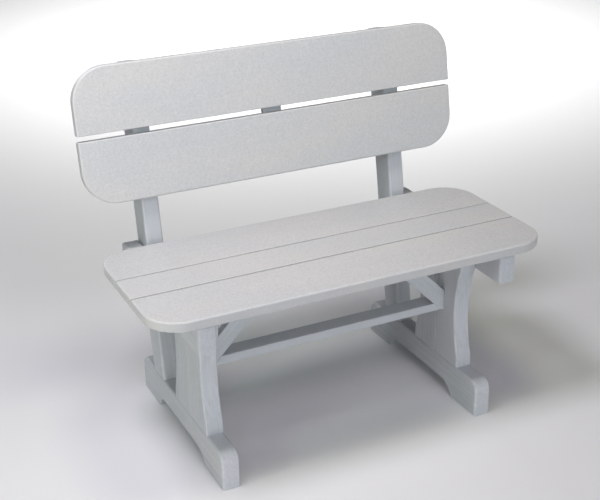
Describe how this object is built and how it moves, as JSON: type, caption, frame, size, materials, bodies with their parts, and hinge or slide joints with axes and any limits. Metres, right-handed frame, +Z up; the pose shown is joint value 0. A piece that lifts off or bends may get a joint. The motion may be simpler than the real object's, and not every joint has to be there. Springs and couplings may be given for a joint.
{
  "type": "bench with a back",
  "caption": "Bench with a raked two-board back and a three-board seat on pedestal legs with arched feet, a stretcher and knee braces.",
  "frame": {"origin": "middle of the overall box's underside, on the ground", "axes": "+X along the bench, to the right of someone who faces its front; +Y towards the back; +Z up"},
  "size_m": [0.899, 0.5304, 0.7939],
  "materials": {
    "board_lumber": "light grey recycled plastic lumber with a faint brushed grain and fine speckle",
    "frame_lumber": "light grey recycled plastic lumber with a faint brushed grain",
    "fasteners": "stainless steel screws"
  },
  "bodies": {
    "root": {"seat_board_front": "board_lumber", "seat_board_middle": "board_lumber", "seat_board_rear": "board_lumber", "back_board_lower": "board_lumber", "back_board_upper": "board_lumber", "back_post_left": "frame_lumber", "back_post_right": "frame_lumber", "back_batten": "frame_lumber", "seat_batten": "frame_lumber", "seat_cleat_left": "frame_lumber", "seat_cleat_right": "frame_lumber", "leg_front_board_left": "frame_lumber", "leg_front_board_right": "frame_lumber", "leg_rear_board_left": "frame_lumber", "leg_rear_board_right": "frame_lumber", "foot_left": "frame_lumber", "foot_right": "frame_lumber", "stretcher": "frame_lumber", "brace_left": "frame_lumber", "brace_right": "frame_lumber", "seat_cleat_screws": "fasteners", "seat_batten_screws": "fasteners", "back_post_screws": "fasteners", "back_batten_screws": "fasteners", "leg_cleat_screws": "fasteners", "foot_lag_screws": "fasteners", "brace_leg_screws": "fasteners", "brace_seat_screws": "fasteners", "brace_lap_screws": "fasteners"}
  },
  "joints": []
}
